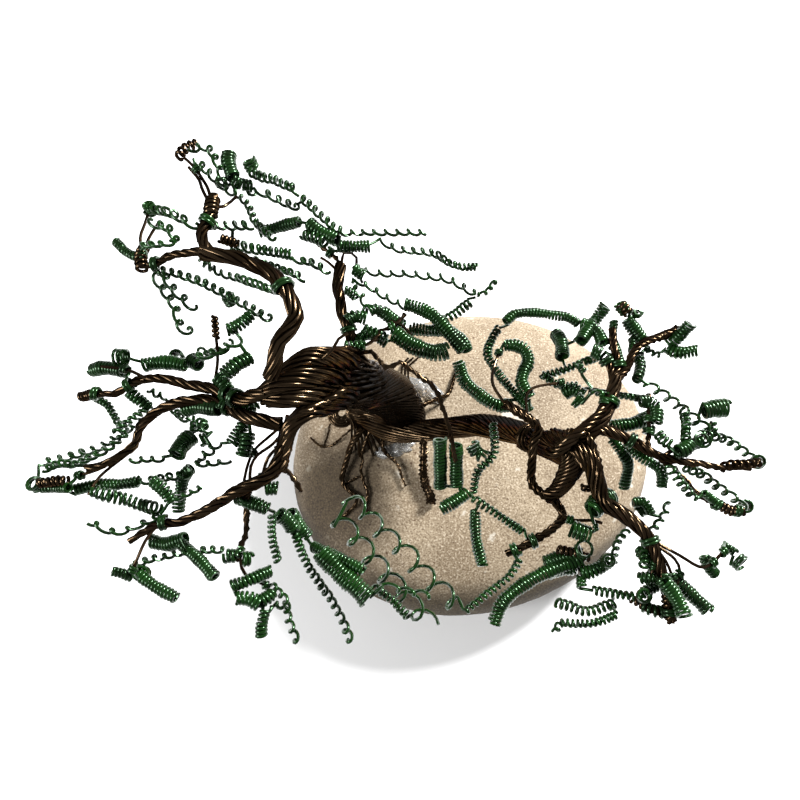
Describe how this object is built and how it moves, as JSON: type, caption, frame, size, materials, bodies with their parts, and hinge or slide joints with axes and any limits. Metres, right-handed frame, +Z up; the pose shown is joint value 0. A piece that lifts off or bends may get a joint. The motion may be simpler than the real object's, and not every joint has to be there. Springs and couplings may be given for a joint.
{
  "type": "wire tree sculpture",
  "caption": "Small leaning tree of twisted brown wire with leaves of coiled green wire, glued by its roots to a flat river stone.",
  "frame": {"origin": "middle of the stone's flat underside, on the surface that the sculpture stands on", "axes": "+Z up, -Y the side that the picture is taken from, -X the side that the trunk leans over, +X along the tree's longest extent"},
  "size_m": [0.1398, 0.0989, 0.1254],
  "materials": {
    "stone": "matte",
    "glue": "gloss",
    "brown_wire": "gloss",
    "green_wire": "gloss"
  },
  "bodies": {
    "root": {"glue_back": "glue", "glue_front": "glue", "limb_back": "brown_wire", "limb_back_left": "brown_wire", "limb_back_left_arm": "brown_wire", "limb_back_left_top": "brown_wire", "limb_front_left": "brown_wire", "limb_front_left_arm": "brown_wire", "limb_left": "brown_wire", "limb_left_front": "brown_wire", "limb_middle_front": "brown_wire", "limb_right": "brown_wire", "limb_right_back": "brown_wire", "limb_right_front": "brown_wire", "limb_right_outer": "brown_wire", "river_stone": "stone", "root_back": "brown_wire", "root_front": "brown_wire", "root_front_left": "brown_wire", "root_left": "brown_wire", "root_left_front": "brown_wire", "root_right_back": "brown_wire", "root_right_front": "brown_wire", "spring_back_left_crest": "green_wire", "spring_back_left_drop": "green_wire", "spring_back_left_long": "green_wire", "spring_back_left_middle": "green_wire", "spring_back_left_tail": "green_wire", "spring_back_left_tip": "green_wire", "spring_back_left_upper": "green_wire", "spring_back_long": "green_wire", "spring_back_low": "green_wire", "spring_back_outer": "green_wire", "spring_back_right": "green_wire", "spring_front_drop": "green_wire", "spring_front_fat": "green_wire", "spring_front_left_end": "green_wire", "spring_front_left_hang": "green_wire", "spring_front_left_row": "green_wire", "spring_front_spiral": "green_wire", "spring_front_spiral_outer": "green_wire", "spring_left_front": "green_wire", "spring_left_inner": "green_wire", "spring_left_long": "green_wire", "spring_left_tip": "green_wire", "spring_left_upper": "green_wire", "spring_middle_back": "green_wire", "spring_middle_front": "green_wire", "spring_right_arch": "green_wire", "spring_right_back": "green_wire", "spring_right_curl": "green_wire", "spring_right_fat": "green_wire", "spring_right_front_long": "green_wire", "spring_right_front_row": "green_wire", "spring_right_front_tip": "green_wire", "spring_right_hook": "green_wire", "spring_right_lower": "green_wire", "spring_right_upper": "green_wire", "trunk": "brown_wire"}
  },
  "joints": []
}
